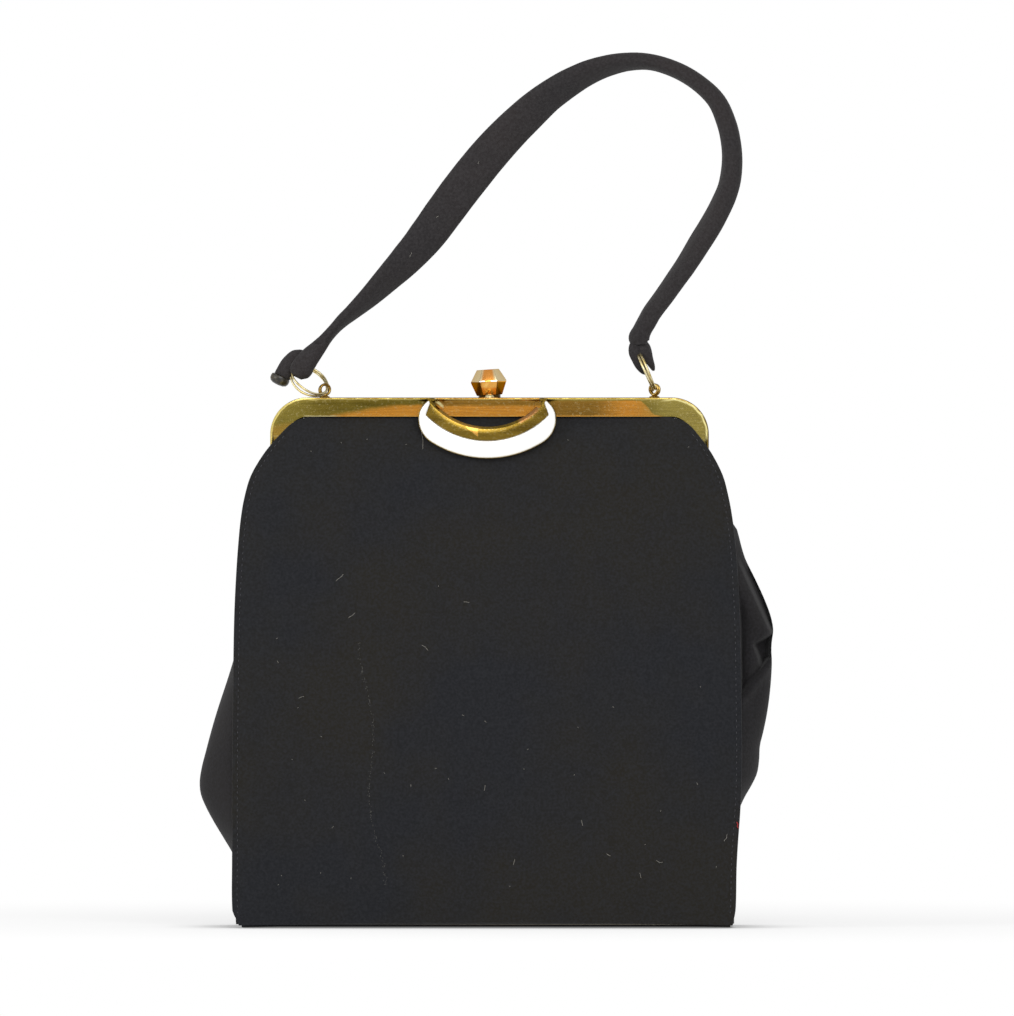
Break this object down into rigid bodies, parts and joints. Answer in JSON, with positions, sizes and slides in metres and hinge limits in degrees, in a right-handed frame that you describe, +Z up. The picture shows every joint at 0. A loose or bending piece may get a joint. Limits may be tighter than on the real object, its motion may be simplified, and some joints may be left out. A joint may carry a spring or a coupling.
{
  "type": "kiss lock frame purse",
  "caption": "Framed evening purse of dark cloth with a hinged brass frame, a faceted knob clasp, a crescent thumb piece and a padded strap on rings.",
  "frame": {"origin": "middle of the bag's foot, on the surface it stands on", "axes": "+Z up, front with the crescent faces -Y, +X to the viewer's right"},
  "size_m": [0.2459, 0.066, 0.3782],
  "materials": {
    "frame_brass": "polished, lightly scratched",
    "knob_brass": "polished, facetted",
    "pale_gold": "polished wire and rivets",
    "white_enamel": "glossy",
    "black_faille": "matt fine wool or faille weave",
    "strap_cloth": "matt fine weave, padded",
    "lining_satin": "soft satin sheen",
    "grey_board": "matt",
    "filler": "matt cotton cord",
    "dark_lacquer": "glossy, worn"
  },
  "bodies": {
    "bag": {"rear_leaf": "frame_brass", "hinge_rivets": "pale_gold", "knob": "knob_brass", "knob_saddle": "frame_brass", "knob_stud": "pale_gold", "left_ring_post": "pale_gold", "right_ring_post": "pale_gold", "front_panel": "black_faille", "front_board": "grey_board", "rear_panel": "black_faille", "rear_board": "grey_board", "rear_yoke_lining": "lining_satin", "base_panel": "black_faille", "base_board": "grey_board", "left_gusset": "black_faille", "right_gusset": "black_faille", "lining_bag": "lining_satin", "inside_pocket": "lining_satin"},
    "front_leaf": {"front_leaf": "frame_brass", "catch_bead": "pale_gold", "crescent_plate": "frame_brass", "crescent_enamel": "white_enamel", "crescent_rivets": "pale_gold", "front_yoke": "black_faille", "front_yoke_lining": "lining_satin"},
    "left_ring": {"left_ring": "pale_gold"},
    "right_ring": {"right_ring": "pale_gold"},
    "strap": {"strap_cover": "strap_cloth", "strap_core": "filler", "left_strap_loop": "strap_cloth", "right_strap_loop": "strap_cloth", "strap_tip": "dark_lacquer"}
  },
  "joints": [
    {"name": "frame_open", "type": "hinge", "parent": "bag", "child": "front_leaf", "pos_m": [0, 0, 0.184], "axis": [1, 0, 0], "range_deg": [0, 70]},
    {"name": "left_ring_swing", "type": "hinge", "parent": "bag", "child": "left_ring", "pos_m": [-0.0715, 0.00395, 0.2324], "axis": [1, 0, 0], "range_deg": [-40, 40]},
    {"name": "right_ring_swing", "type": "hinge", "parent": "bag", "child": "right_ring", "pos_m": [0.0715, 0.00395, 0.2324], "axis": [1, 0, 0], "range_deg": [-40, 40]},
    {"name": "strap_swing", "type": "hinge", "parent": "left_ring", "child": "strap", "pos_m": [0, 0.00395, 0.24095], "axis": [1, 0, 0], "range_deg": [-100, 60]}
  ],
  "couplings": [
    {"joint": "right_ring_swing", "follows": "left_ring_swing", "ratio": 1}
  ]
}
